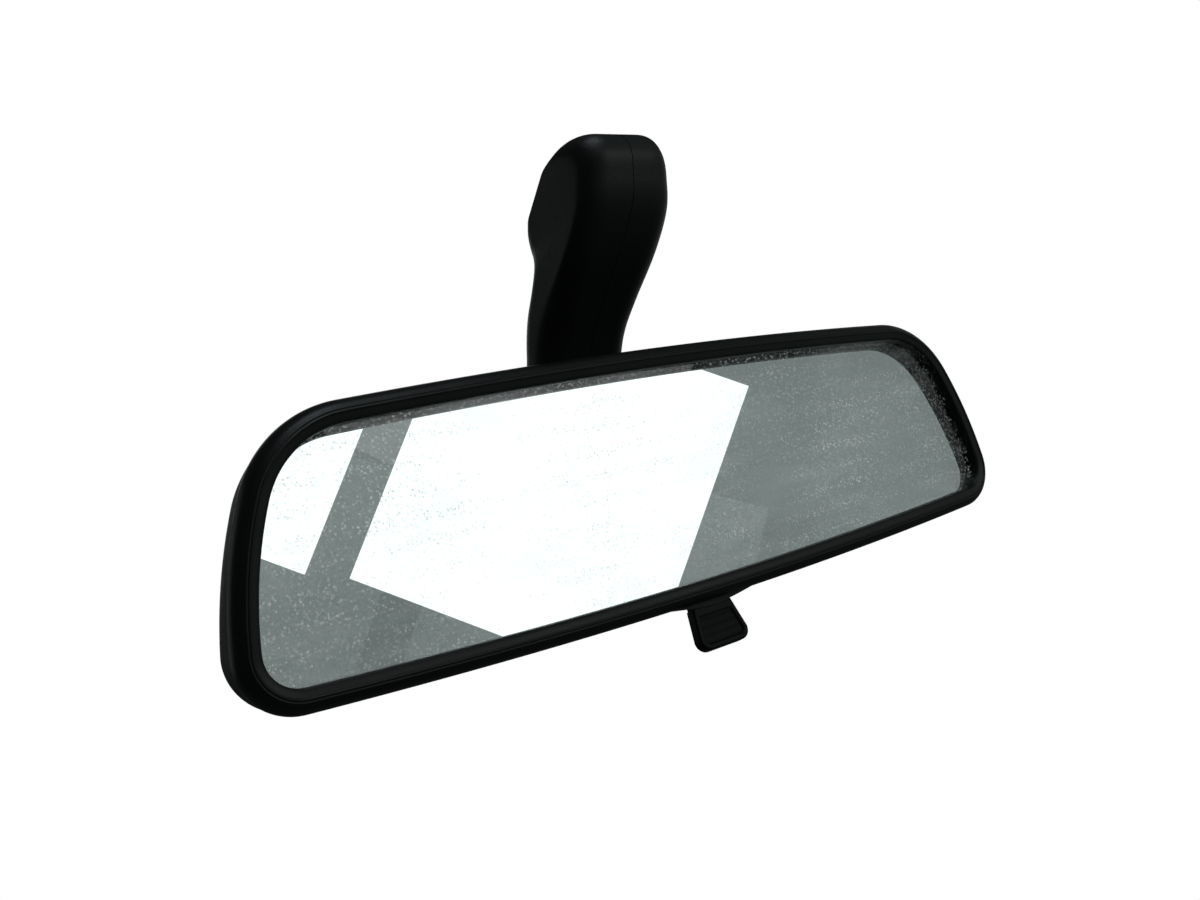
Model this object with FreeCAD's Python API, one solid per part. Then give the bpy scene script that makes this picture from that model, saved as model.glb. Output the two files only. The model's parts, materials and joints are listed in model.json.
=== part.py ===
import FreeCAD, Part
import math
import os

# Interior rearview mirror, millimetres.  Origin: centre of the socket mouth in the foot, on the
# windscreen.  +X runs along the glass, +Z is up, -Y is the side the driver looks at.
os.makedirs("parts", exist_ok=True)
V = FreeCAD.Vector
AXIS_X = V(1, 0, 0)
AXIS_Y = V(0, 1, 0)
AXIS_Z = V(0, 0, 1)

# ---- where the parts of the mirror stand ----
windscreen_rake = 50.7           # degrees from vertical
glass_face_y = -17.5             # front face of the mirror glass
head_centre_z = -81.0            # middle of the glass
ball_depth = 24.0                # ball centre behind the glass face
ball_height = 4.0                # ball centre above the middle of the glass
pivot_depth = 13.0               # day/night hinge behind the glass face
pivot_height = 21.0              # day/night hinge above the middle of the glass
lever_depth = 10.0               # lever pin behind the glass face
lever_height = -27.5             # lever pin below the middle of the glass

# ---- outline of the visible glass: a trapezium with bowed edges and round corners ----
half_width_top = 102.7
half_width_bottom = 118.0
outline_height = 49.2
bow_top = 2.7
bow_bottom = 3.4
bow_side = 3.7
corner_top = 22.5
corner_bottom = 7.4

# ---- head ----
glass_lap = 1.8                  # glass hidden under the bezel lip
glass_thick_top = 5.6            # wedge glass, thicker at its top
glass_thick_bottom = 2.4
coating_thick = 0.3
bezel_width = 5.6
bezel_crest = 3.1
bezel_back = 2.0
skirt_back = 5.0                 # the skirt plugs into the rear housing
skirt_inner = 2.3                # skirt faces, outward from the visible glass
skirt_outer = 2.85
wall = 1.8
shell_front = 2.15
shell_depth = 26.0
shroud_half_width = 30.0
shroud_drop = 2.2

# ---- ball joint ----
ball_radius = 7.0
neck_radius = 3.2
running_gap = 0.05
liner_radius = 8.25
cup_radius = 9.4
dome_radius = 11.5
bore_mouth_angle = 52.0          # half angle of the open mouth, from the neck's axis
plate_front = 10.0               # the bracket plate, behind the glass face
plate_back = 13.0
arm_front_gap = 13.0             # from the ball centre to the front of the arm

# ---- arm ----
arm_half_width = 14.7
arm_round = 8.0
cover_wall = 2.0
core_half_width = 6.5
seam = 0.1                       # half of the seam between the covers
foot_half_length = 14.0
gasket_thick = 0.8
socket_radius = 8.5
socket_depth = 5.0
socket_rim = 9.9
spring_radius = 7.0              # recess for the spring washer in the socket's floor
spring_recess = 0.9
foot_base_depth = 7.6            # from the windscreen to the seat of the foot plate

# ---- day/night mechanism ----
pin_radius = 1.5
lever_pin_radius = 1.25
tab_half_width = 8.4             # at its lower edge
tab_taper = 1.6                  # how much narrower each side is at the top
tab_lean = 15.0                  # degrees towards the driver
lever_neck_half_width = 6.4
tab_top = -35.4
tab_bottom = -46.5
tab_front = 3.0
tab_thick = 3.3
tab_rim = 1.6                    # raised rim round the recessed finger panel
finger_height = 5.1              # cam finger above the lever pin
finger_radius = 1.4
spring_post_front = 14.0
slot_half_width = 8.3            # opening for the lever in the lower wall
slot_back = 13.5
slot_top = -26.0


def save(shape, name):
    shape.exportStep("parts/" + name + ".step")


def in_head(x, depth, height):
    """A point given from the middle of the glass: along, behind and above it."""
    return V(x, glass_face_y + depth, head_centre_z + height)


def head_box(x0, x1, depth0, depth1, height0, height1):
    return Part.makeBox(x1 - x0, depth1 - depth0, height1 - height0, in_head(x0, depth0, height0))


def head_rod(radius, x0, x1, depth, height):
    return Part.makeCylinder(radius, x1 - x0, in_head(x0, depth, height), AXIS_X)


def both_sides(shape):
    """The shape and its mirror image across the middle plane."""
    return [shape, shape.mirror(V(0, 0, 0), AXIS_X)]


def fuse_all(shapes):
    return shapes[0].multiFuse(shapes[1:]).removeSplitter()


def edges_along(shape, direction, test):
    """Straight edges of a shape that run along a direction and pass a test on their middle."""
    picked = []
    for edge in shape.Edges:
        ends = [v.Point for v in edge.Vertexes]
        if len(ends) == 2:
            run = ends[1].sub(ends[0])
            straight = abs(edge.Length - run.Length) < 1e-4
            if straight and abs(abs(run.normalize().dot(direction)) - 1) < 1e-4:
                if test(edge.CenterOfMass):
                    picked.append(edge)
    return picked


# ------------------------------------------------------------------ outline of the head
def circle_through(a, b, c):
    """Centre and radius of the circle through three points of a plane."""
    ax, ay, bx, by, cx, cy = a[0], a[1], b[0], b[1], c[0], c[1]
    area = 2 * (ax * (by - cy) + bx * (cy - ay) + cx * (ay - by))
    aa, bb, cc = ax * ax + ay * ay, bx * bx + by * by, cx * cx + cy * cy
    x = (aa * (by - cy) + bb * (cy - ay) + cc * (ay - by)) / area
    z = (aa * (cx - bx) + bb * (ax - cx) + cc * (bx - ax)) / area
    return (x, z), math.hypot(ax - x, ay - z)


def corner_centre(first, second, radius, near):
    """Centre of the arc of a radius that touches two circles from inside, near a corner."""
    (c1, r1), (c2, r2) = first, second
    d1, d2 = r1 - radius, r2 - radius
    dx, dz = c2[0] - c1[0], c2[1] - c1[1]
    span = math.hypot(dx, dz)
    along = (d1 * d1 - d2 * d2 + span * span) / (2 * span)
    across = math.sqrt(d1 * d1 - along * along)
    foot = (c1[0] + along * dx / span, c1[1] + along * dz / span)
    options = [(foot[0] - s * across * dz / span, foot[1] + s * across * dx / span) for s in (-1, 1)]
    return min(options, key=lambda p: math.hypot(p[0] - near[0], p[1] - near[1]))


def point_beyond(centre, through, radius):
    """The point at a radius from a centre, on the line through a second point."""
    dx, dz = through[0] - centre[0], through[1] - centre[1]
    scale = radius / math.hypot(dx, dz)
    return (centre[0] + dx * scale, centre[1] + dz * scale)


def outline_arcs(grow, round_top, round_bottom):
    """The eight arcs of the outline as (start, middle, end, centre), points in the glass plane."""
    half = outline_height / 2
    lean = (half_width_bottom - half_width_top) / outline_height
    slant = math.sqrt(1 + lean * lean)
    top = half + grow
    x_top = half_width_top + grow * (slant - lean)
    x_bottom = half_width_bottom + grow * (slant + lean)
    x_mid = (x_top + x_bottom) / 2 + bow_side
    upper = circle_through((-x_top, top), (0, top + bow_top), (x_top, top))
    lower = circle_through((-x_bottom, -top), (0, -top - bow_bottom), (x_bottom, -top))
    side = circle_through((x_top, top), (x_mid, 0), (x_bottom, -top))
    c_top = corner_centre(upper, side, round_top, (x_top, top))
    c_low = corner_centre(lower, side, round_bottom, (x_bottom, -top))
    joins = [point_beyond(lower[0], c_low, lower[1]), point_beyond(side[0], c_low, side[1]),
             point_beyond(side[0], c_top, side[1]), point_beyond(upper[0], c_top, upper[1])]
    right = []
    for k, (centre, radius) in enumerate([(c_low, round_bottom), side, (c_top, round_top)]):
        chord = ((joins[k][0] + joins[k + 1][0]) / 2, (joins[k][1] + joins[k + 1][1]) / 2)
        right.append((joins[k], point_beyond(centre, chord, radius), joins[k + 1], centre))
    flip = [tuple((-p[0], p[1]) for p in (arc[2], arc[1], arc[0], arc[3])) for arc in reversed(right)]
    over = (joins[3], (0, top + bow_top), (-joins[3][0], joins[3][1]), upper[0])
    under = ((-joins[0][0], joins[0][1]), (0, -top - bow_bottom), joins[0], lower[0])
    return [under] + right + [over] + flip


def outline(grow, depth, round_top, round_bottom):
    """Closed wire of the head's outline, grown or shrunk, at a depth behind the glass face."""
    edges = []
    for start, middle, end, _ in outline_arcs(grow, round_top, round_bottom):
        points = [in_head(p[0], depth, p[1]) for p in (start, middle, end)]
        edges.append(Part.Arc(*points).toShape())
    return Part.Wire(edges)


def plate(grow, depth0, depth1):
    """A flat plate with the head's outline."""
    wire = outline(grow, depth0, corner_top + grow, corner_bottom + grow)
    return Part.Face(wire).extrude(V(0, depth1 - depth0, 0))


def ring(profile):
    """A ring around the glass: a profile of (outward, depth) points swept along the outline."""
    parts = []
    for start, _, end, centre in outline_arcs(0, corner_top, corner_bottom):
        pivot = in_head(centre[0], 0, centre[1])
        first = in_head(start[0], 0, start[1])
        radial = first.sub(pivot).normalize()
        last = in_head(end[0], 0, end[1]).sub(pivot)
        points = [first + radial * out + AXIS_Y * depth for out, depth in profile]
        face = Part.Face(Part.makePolygon(points + points[:1]))
        turn = math.degrees(radial.getAngle(last))
        parts.append(face.revolve(pivot, AXIS_Y * -1, turn))
    return fuse_all(parts)


# ------------------------------------------------------------------ head
def arc_points(centre_out, centre_depth, radius, start, stop, count):
    """Points on an arc of the bezel's profile, angles in degrees from outward towards the driver."""
    points = []
    for k in range(count + 1):
        angle = math.radians(start + (stop - start) * k / count)
        points.append((centre_out + radius * math.cos(angle), centre_depth - radius * math.sin(angle)))
    return points


def bezel():
    """The glass frame: steep lip, gentle inner slope, two fine ridges, round shoulder."""
    shoulder = 2.6
    slope = [(0.05, -0.6), (0.12, -1.6), (0.45, -2.28), (1.3, -2.62), (2.15, -2.88)]
    crest = arc_points(2.45, -bezel_crest + 0.2, 0.2, 150, 30, 4)
    groove = [(2.82, -2.88), (3.05, -2.97), (3.3, -2.8)]
    outer = arc_points(bezel_width - shoulder, -2.6 + shoulder, shoulder, 78, 0, 7)
    back = [(bezel_width, bezel_back), (skirt_outer, bezel_back), (skirt_outer, skirt_back),
            (skirt_inner, skirt_back), (skirt_inner, 0.0)]
    frame = ring([(0.0, 0.0)] + slope + crest + groove + outer + back)
    return frame.cut(lever_slot(bezel_back + 0.1))


def lever_slot(front):
    """The opening in the lower wall through which the lever swings."""
    return head_box(-slot_half_width, slot_half_width, front, slot_back, tab_bottom, slot_top)


def wedge_plane(offset):
    """A solid that fills the space in front of the slanted back of the wedge glass."""
    reach = outline_height / 2 + bow_top + glass_lap
    low = -outline_height / 2 - bow_bottom - glass_lap
    slope = (glass_thick_top - glass_thick_bottom) / (reach - low)
    margin = 10
    side = half_width_bottom + margin
    top = glass_thick_top + slope * margin + offset
    bottom = glass_thick_bottom - slope * margin + offset
    points = [in_head(-side, -margin, low - margin), in_head(-side, bottom, low - margin),
              in_head(-side, top, reach + margin), in_head(-side, -margin, reach + margin)]
    return Part.Face(Part.makePolygon(points + points[:1])).extrude(V(2 * side, 0, 0))


def mirror_glass():
    return plate(glass_lap, 0, glass_thick_top + 1).common(wedge_plane(0))


def mirror_coating():
    sheet = plate(glass_lap - 0.4, 0, glass_thick_top + 1)
    return sheet.common(wedge_plane(coating_thick)).cut(wedge_plane(0))


def glass_pads():
    """Two foam pads between the coating and the ribs of the housing."""
    block = head_box(30, 92, 2, pad_back(), -16, 14)
    pads = [half.cut(wedge_plane(coating_thick)) for half in both_sides(block)]
    return Part.makeCompound(pads)


def pad_back():
    return glass_thick_top + coating_thick + 1.5


def shell_loft(inset, shift):
    """The domed volume of the housing, or its hollow when inset and shifted forward."""
    levels = [(5.0, shell_front, 1.0), (4.8, 7.0, 1.0), (2.6, 14.0, 1.1),
              (-2.0, 19.5, 1.2), (-7.0, 23.4, 1.3), (-12.5, shell_depth, 1.2)]
    wires = []
    for grow, depth, plump in levels:
        size = grow - inset
        top = max((corner_top + size) * plump, 4.0)
        bottom = max((corner_bottom + size) * plump, 4.0)
        back = depth - shift if depth > shell_front else depth - (0.5 if inset else 0)
        wires.append(outline(size, back, top, bottom))
    return Part.makeLoft(wires, True, False)


def shroud():
    """The swelling of the lower wall around the day/night tab."""
    low = -outline_height / 2 - bow_bottom - 5.3
    edge = low + 2.4
    middle = low - shroud_drop
    a = in_head(-shroud_half_width, shell_front, edge)
    b = in_head(0, shell_front, middle)
    c = in_head(shroud_half_width, shell_front, edge)
    arc = Part.Arc(a, b, c).toShape()
    roof = Part.makePolygon([c, in_head(shroud_half_width, shell_front, edge + 3),
                             in_head(-shroud_half_width, shell_front, edge + 3), a])
    solid = Part.Face(Part.Wire([arc] + roof.Edges)).extrude(V(0, 12.0, 0))
    rear_edges = [e for e in solid.Edges if abs(e.CenterOfMass.y - glass_face_y - shell_front - 12) < 0.01
                  and e.CenterOfMass.z < head_centre_z + edge]
    return solid.makeFillet(1.6, rear_edges)


def rear_housing():
    body = shell_loft(0, 0).fuse(shroud())
    body = body.cut(shell_loft(wall, wall))
    opening = Part.makeCylinder(14.2, 12, in_head(0, shell_depth - 9, ball_height - 0.4), AXIS_Y)
    body = body.cut(opening).cut(lever_slot(shell_front + 0.6))
    post = head_box(13.6, 18.0, pivot_depth, 24.0, pivot_height - 3.2, pivot_height + 3.2)
    post = post.fuse(head_rod(3.2, 13.6, 18.0, pivot_depth, pivot_height))
    foot = head_box(8.7, 11.7, lever_depth - 3.0, lever_depth + 3.0, -31.6, lever_height)
    foot = foot.fuse(head_rod(3.0, 8.7, 11.7, lever_depth, lever_height))
    spring_post = head_box(-5, 5, spring_post_front, 24.0, -20.5, -17.5)
    rib = head_box(34, 36, pad_back(), 24.0, -20, 18)
    rib_outer = head_box(84, 86, pad_back(), 24.0, -20, 16)
    fittings = both_sides(post) + both_sides(foot) + both_sides(rib) + both_sides(rib_outer)
    inside = shell_loft(wall / 2, wall / 2)
    fittings = [part.common(inside) for part in fittings + [spring_post]]
    body = fuse_all([body] + fittings)
    body = body.cut(head_rod(pin_radius, -30, 30, pivot_depth, pivot_height))
    return body.cut(head_rod(lever_pin_radius, -12, 12, lever_depth, lever_height))


def pivot_pin():
    return head_rod(pin_radius, -18.4, 18.4, pivot_depth, pivot_height)


def lever_pin():
    return head_rod(lever_pin_radius, -11.7, 11.7, lever_depth, lever_height)


def toggle_spring():
    """A leaf spring on the housing's post, which bears on the lever's hub."""
    return head_box(-4.5, 4.5, spring_post_front - 0.5, spring_post_front, -27.6, -17.6)


# ------------------------------------------------------------------ day/night lever
def lever_plate(inset, front, thick, top, bottom, radius):
    """A tapered plate, wider at its rounded lower corners."""
    wide = tab_half_width - inset
    narrow = wide - tab_taper
    points = [in_head(-narrow, front, top), in_head(narrow, front, top),
              in_head(wide, front, bottom), in_head(-wide, front, bottom)]
    solid = Part.Face(Part.makePolygon(points + points[:1])).extrude(AXIS_Y * thick)
    corners = edges_along(solid, AXIS_Y, lambda p: p.z < head_centre_z + bottom + 0.1)
    return solid.makeFillet(radius, corners)


def day_night_lever():
    tab = lever_plate(0, tab_front, tab_thick, tab_top, tab_bottom, 3.0)
    rounded = [e for e in tab.Edges if e.CenterOfMass.z < head_centre_z + tab_top - 0.1
               and abs(e.CenterOfMass.y - glass_face_y - tab_front - tab_thick / 2) > 1.5]
    tab = tab.makeFillet(0.55, rounded)
    recess = lever_plate(tab_rim, tab_front - 1, 1.6, tab_top - 2.2, tab_bottom + tab_rim, 1.8)
    tab = tab.cut(recess)
    tab.rotate(in_head(0, tab_front + tab_thick / 2, tab_top), AXIS_X, -tab_lean)
    side = lever_neck_half_width
    neck_front = tab_front + 0.3
    neck = head_box(-side, side, neck_front, neck_front + 2.8, tab_top - 2.0, lever_height - 1.0)
    shank = head_box(-side, side, neck_front, lever_depth, lever_height - 2.6, lever_height + 1.0)
    hub = head_rod(3.2, -7.9, 7.9, lever_depth, lever_height)
    web = head_box(-4, 4, lever_depth - 0.8, lever_depth + 0.8, lever_height, lever_height + finger_height)
    finger = head_rod(finger_radius, -4, 4, lever_depth, lever_height + finger_height)
    body = fuse_all([tab, neck, shank, hub, web, finger])
    return body.cut(head_rod(lever_pin_radius + running_gap, -12, 12, lever_depth, lever_height))


# ------------------------------------------------------------------ ball joint and bracket
def ball_at(radius):
    return Part.makeSphere(radius, in_head(0, ball_depth, ball_height))


def mouth_cone(half_angle):
    """The cone through which the neck leaves, wide enough for the neck to swing."""
    length = 20.0
    wide = length * math.tan(math.radians(half_angle))
    return Part.makeCone(0, wide, length, in_head(0, ball_depth, ball_height), AXIS_Y)


def ball_liner():
    shell = ball_at(liner_radius - running_gap).cut(ball_at(ball_radius + running_gap))
    front_hole = Part.makeCylinder(2.5, 12, in_head(0, ball_depth, ball_height), AXIS_Y * -1)
    return shell.cut(mouth_cone(bore_mouth_angle)).cut(front_hole)


def clamp_cup():
    shell = ball_at(cup_radius - running_gap).cut(ball_at(liner_radius))
    front_hole = Part.makeCylinder(4.0, 12, in_head(0, ball_depth, ball_height), AXIS_Y * -1)
    return shell.cut(mouth_cone(bore_mouth_angle)).cut(front_hole)


def front_bore(radius, depth0):
    return Part.makeCylinder(radius, ball_depth - depth0, in_head(0, depth0, ball_height), AXIS_Y)




def toggle_bracket():
    base = head_box(-17, 17, plate_front, plate_back, ball_height - 16, ball_height + 12.5)
    base = base.makeFillet(3.0, edges_along(base, AXIS_Y, lambda p: True))
    collar = front_bore(dome_radius, plate_front)
    ear = head_box(8.0, 13.2, plate_front, plate_back + 3.0, ball_height + 8, pivot_height)
    ear = ear.fuse(head_rod(3.0, 8.0, 13.2, pivot_depth, pivot_height))
    tine_gap = finger_radius + 0.3
    finger_z = lever_height + finger_height
    tongue = head_box(-5, 5, lever_depth - tine_gap - 1.4, plate_back, finger_z + 2.6, ball_height - 12)
    tine_front = head_box(-5, 5, lever_depth - tine_gap - 1.4, lever_depth - tine_gap, finger_z - 0.6, finger_z + 3)
    tine_rear = head_box(-5, 5, lever_depth + tine_gap, lever_depth + tine_gap + 1.4, finger_z - 0.6, finger_z + 3)
    body = fuse_all([base, collar, ball_at(dome_radius), tongue, tine_front, tine_rear] + both_sides(ear))
    body = body.cut(ball_at(cup_radius)).cut(front_bore(cup_radius, plate_front - 1))
    body = body.cut(mouth_cone(bore_mouth_angle - 4))
    front_clip = head_box(-12, 12, 5, plate_front, ball_height - 12, ball_height + 12)
    body = body.cut(front_clip)
    for x, z in retainer_places():
        body = body.cut(Part.makeCylinder(1.0, 4, in_head(x, plate_front - 0.5, z), AXIS_Y))
    return body.cut(head_rod(pin_radius + running_gap, -20, 20, pivot_depth, pivot_height))


def retainer_places():
    return [(sx * 11.5, ball_height + sz * 8.5) for sx in (-1, 1) for sz in (-1, 1)]


def pressure_ring():
    depth0 = plate_front + 2.6
    ring_solid = Part.makeCylinder(cup_radius - 0.1, 6.5, in_head(0, depth0, ball_height), AXIS_Y)
    hole = Part.makeCylinder(4.6, 8, in_head(0, depth0 - 1, ball_height), AXIS_Y)
    return ring_solid.cut(hole).cut(ball_at(cup_radius))


def wave_spring():
    depth0 = plate_front + 0.6
    ring_solid = Part.makeCylinder(cup_radius - 0.4, 2.0, in_head(0, depth0, ball_height), AXIS_Y)
    return ring_solid.cut(Part.makeCylinder(6.8, 4, in_head(0, depth0 - 1, ball_height), AXIS_Y))


def retainer_plate():
    thick = 1.4
    solid = head_box(-14, 14, plate_front - thick, plate_front, ball_height - 11, ball_height + 11)
    solid = solid.makeFillet(3.0, edges_along(solid, AXIS_Y, lambda p: True))
    boss = Part.makeCylinder(cup_radius - 0.2, 0.6, in_head(0, plate_front, ball_height), AXIS_Y)
    solid = solid.fuse(boss).removeSplitter()
    for x, z in retainer_places():
        solid = solid.cut(Part.makeCylinder(1.0, 4, in_head(x, plate_front - 3, z), AXIS_Y))
    return solid


def retainer_screws():
    screws = []
    for x, z in retainer_places():
        head = Part.makeCylinder(1.9, 1.1, in_head(x, plate_front - 2.5, z), AXIS_Y)
        shank = Part.makeCylinder(1.0, 3.6, in_head(x, plate_front - 1.4, z), AXIS_Y)
        drive = Part.makeCylinder(0.8, 0.5, in_head(x, plate_front - 2.5, z), AXIS_Y)
        screws.append(head.fuse(shank).removeSplitter().cut(drive))
    return Part.makeCompound(screws)


def ball_stud():
    neck = Part.makeCylinder(neck_radius, arm_front_gap + 3.0, in_head(0, ball_depth, ball_height), AXIS_Y)
    flange = Part.makeCylinder(5.0, 1.5, in_head(0, ball_depth + arm_front_gap + 2.2, ball_height), AXIS_Y)
    shank = Part.makeCylinder(2.5, 9.6, in_head(0, ball_depth + arm_front_gap + 1.0, ball_height), AXIS_Y)
    return fuse_all([ball_at(ball_radius), neck, flange, shank])


def stud_nut():
    depth = ball_depth + arm_front_gap + 7.9
    corner = 4.0 / math.cos(math.radians(30))
    points = []
    for k in range(7):
        angle = math.radians(60 * k)
        points.append(in_head(corner * math.cos(angle), depth, ball_height + corner * math.sin(angle)))
    nut = Part.Face(Part.makePolygon(points)).extrude(V(0, 2.4, 0))
    return nut.cut(Part.makeCylinder(2.5, 5, in_head(0, depth - 1, ball_height), AXIS_Y))


# ------------------------------------------------------------------ arm
def foot_place(shape):
    """Turn a shape built with the windscreen as its XY plane to the rake of the windscreen."""
    shape.rotate(V(0, 0, 0), AXIS_X, windscreen_rake - 90)
    return shape


def foot_point(along, out):
    """A point in the middle plane: along the windscreen (down and forward) and out of the foot."""
    slope = math.radians(90 - windscreen_rake)
    return V(0, along * math.cos(slope) + out * math.sin(slope),
             -along * math.sin(slope) + out * math.cos(slope))


def arm_stations():
    """Front and back points (y, z) of the arm's sections from the foot down, and how much narrower each is."""
    first = foot_point(-foot_half_length, -gasket_thick)
    last = foot_point(foot_half_length, -gasket_thick)
    return [((first.y, first.z), (last.y, last.z), 0.0),
            ((-17.2, 9.2), (11.4, -11.6), 0.0), ((-23.2, 7.0), (11.7, -14.2), 0.0),
            ((-25.8, 2.4), (11.6, -16.6), 0.0), ((-24.6, -3.4), (11.7, -19.0), -0.4),
            ((-21.4, -10.6), (12.7, -21.6), -0.9), ((-12.8, -19.7), (15.4, -25.2), -1.2),
            ((-0.2, -30.3), (20.6, -30.8), -1.0), ((8.0, -38.2), (25.0, -38.6), -0.6),
            ((14.6, -49.0), (28.9, -49.6), -0.3), ((18.4, -62.0), (32.2, -62.0), 0.0),
            ((19.4, -76.0), (33.2, -76.0), 0.0), ((20.6, -84.5), (31.8, -84.5), 2.0)]


def arm_solid(inset, half_width, rounding):
    """Loft through rounded oblong sections, each drawn between a front and a back point."""
    wires = []
    stations = arm_stations()
    for k, (front, back, narrow) in enumerate(stations):
        shift = V(0, 0, 0)
        if inset and k == 0:
            shift = foot_point(0, 3.0)
        if inset and k == len(stations) - 1:
            shift = V(0, 0, inset)
        a = V(0, *front) + shift
        b = V(0, *back) + shift
        along = b.sub(a).normalize()
        a = a + along * inset
        b = b - along * inset
        side = half_width - narrow
        corners = [a - AXIS_X * side, b - AXIS_X * side, b + AXIS_X * side, a + AXIS_X * side]
        wires.append(rounded_loop(corners, min(rounding, 0.45 * b.distanceToPoint(a))))
    return Part.makeLoft(wires, True, False)


def rounded_loop(corners, radius):
    """A closed wire through four corners of an oblong, each rounded by an arc."""
    edges = []
    ends = []
    for k in range(4):
        corner = corners[k]
        before = corners[k - 1].sub(corner).normalize()
        after = corners[(k + 1) % 4].sub(corner).normalize()
        middle = corner + (before + after) * (radius * (1 - math.sqrt(0.5)))
        ends.append((corner + before * radius, middle, corner + after * radius))
    for k in range(4):
        start, middle, stop = ends[k]
        edges.append(Part.Arc(start, middle, stop).toShape())
        edges.append(Part.LineSegment(stop, ends[(k + 1) % 4][0]).toShape())
    return Part.Wire(edges)


def foot_space(depth):
    """Everything further out than a given depth below the windscreen."""
    size = 80
    return foot_place(Part.makeBox(size, size, size, V(-size / 2, -size / 2, -depth)))


def arm_shell():
    shell = arm_solid(0, arm_half_width, arm_round)
    shell = shell.cut(arm_solid(cover_wall, arm_half_width - cover_wall, arm_round - cover_wall))
    neck_hole = Part.makeCylinder(5.4, 8, in_head(0, ball_depth + 8, ball_height), AXIS_Y)
    return shell.cut(neck_hole)


def cover(shell, side):
    reach = 60
    start = seam if side > 0 else -seam - reach
    return shell.common(Part.makeBox(reach, 120, 140, V(start, -50, -110)))


def arm_core():
    stem = arm_solid(4.0, core_half_width, 1.5)
    block = Part.makeBox(20.6, 22.6, 6.0, V(-10.3, -11.3, -13.6))
    block = block.makeFillet(4.0, edges_along(block, AXIS_Z, lambda p: True))
    block = foot_place(block).common(arm_solid(3.0, arm_half_width - 2.6, 4.0))
    core = fuse_all([stem, block]).cut(foot_space(foot_base_depth))
    seat = ball_depth + arm_front_gap + 3.7
    core = core.cut(head_box(-10, 10, 20, seat, ball_height - 9, ball_height + 9))
    core = core.cut(head_box(-10, 10, seat + 4.2, 60, ball_height - 9, ball_height + 9))
    core = core.cut(Part.makeCylinder(2.5, 12, in_head(0, seat - 2, ball_height), AXIS_Y))
    for x, y in foot_screw_places():
        hole = Part.makeCylinder(1.2, 6, V(x, y, -foot_base_depth - 5))
        core = core.cut(foot_place(hole))
    return core


def foot_screw_places():
    return [(sx * 7.6, sy * 8.6) for sx in (-1, 1) for sy in (-1, 1)]


def foot_plate():
    base_thick = 1.6
    base = Part.makeBox(20.6, 23.0, base_thick, V(-10.3, -11.5, -foot_base_depth))
    base = base.makeFillet(2.6, edges_along(base, AXIS_Z, lambda p: True))
    rim = Part.makeCylinder(socket_rim, foot_base_depth, V(0, 0, -foot_base_depth))
    body = base.fuse(rim).removeSplitter()
    body = body.cut(Part.makeCylinder(socket_radius, socket_depth + 1, V(0, 0, -socket_depth)))
    body = body.cut(Part.makeCylinder(spring_radius, spring_recess + 1, V(0, 0, -socket_depth - spring_recess)))
    for k in range(3):
        notch = Part.makeBox(3.0, 3.4, socket_depth, V(socket_radius - 1.6, -1.7, -socket_depth + 1.8))
        notch.rotate(V(0, 0, 0), AXIS_Z, 120 * k + 90)
        body = body.cut(notch)
    for x, y in foot_screw_places():
        seat = Part.makeCylinder(1.95, 8, V(x, y, -foot_base_depth + base_thick))
        body = body.cut(Part.makeCylinder(1.2, 8, V(x, y, -foot_base_depth - 1))).cut(seat)
    return foot_place(body)


def foot_screws():
    base_top = -foot_base_depth + 1.6
    screws = []
    for x, y in foot_screw_places():
        head = Part.makeCylinder(1.8, 1.3, V(x, y, base_top))
        shank = Part.makeCylinder(1.2, 6.0, V(x, y, base_top - 6.0))
        drive = Part.makeCylinder(0.8, 0.7, V(x, y, base_top + 0.6))
        screws.append(foot_place(head.fuse(shank).removeSplitter().cut(drive)))
    return Part.makeCompound(screws)


def foot_spring():
    """A spring washer in the socket's floor, pressed flat by the windscreen boss."""
    base = -socket_depth - spring_recess
    disc = Part.makeCylinder(spring_radius - 0.2, spring_recess - 0.1, V(0, 0, base))
    return foot_place(disc.cut(Part.makeCylinder(spring_radius - 2.6, 3, V(0, 0, base - 1))))


def foot_gasket():
    half_x = arm_half_width - 1.2
    half_y = foot_half_length - 0.8
    pad = Part.makeBox(2 * half_x, 2 * half_y, gasket_thick, V(-half_x, -half_y, -gasket_thick))
    pad = pad.makeFillet(6.0, edges_along(pad, AXIS_Z, lambda p: True))
    return foot_place(pad.cut(Part.makeCylinder(socket_rim + 0.2, 4, V(0, 0, -2))))


# ------------------------------------------------------------------ the model
def main():
    shell = arm_shell()
    nodes = {
        "foot_gasket": foot_gasket(),
        "foot_plate": foot_plate(),
        "foot_spring": foot_spring(),
        "foot_screws": foot_screws(),
        "arm_core": arm_core(),
        "cover_left": cover(shell, -1),
        "cover_right": cover(shell, 1),
        "ball_stud": ball_stud(),
        "stud_nut": stud_nut(),
        "ball_liner": ball_liner(),
        "clamp_cup": clamp_cup(),
        "toggle_bracket": toggle_bracket(),
        "pressure_ring": pressure_ring(),
        "wave_spring": wave_spring(),
        "retainer_plate": retainer_plate(),
        "retainer_screws": retainer_screws(),
        "rear_housing": rear_housing(),
        "bezel": bezel(),
        "mirror_glass": mirror_glass(),
        "mirror_coating": mirror_coating(),
        "glass_pads": glass_pads(),
        "pivot_pin": pivot_pin(),
        "lever_pin": lever_pin(),
        "toggle_spring": toggle_spring(),
        "day_night_lever": day_night_lever(),
    }
    for name, shape in nodes.items():
        box = shape.BoundBox
        print(name, "solids", len(shape.Solids), "valid", shape.isValid(), "mm3", round(shape.Volume, 1),
              [round(v, 1) for v in (box.XMin, box.XMax, box.YMin, box.YMax, box.ZMin, box.ZMax)])
        save(shape, name)


main()
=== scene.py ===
import json
import math
import bmesh
import bpy
from mathutils import Matrix, Vector


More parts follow.
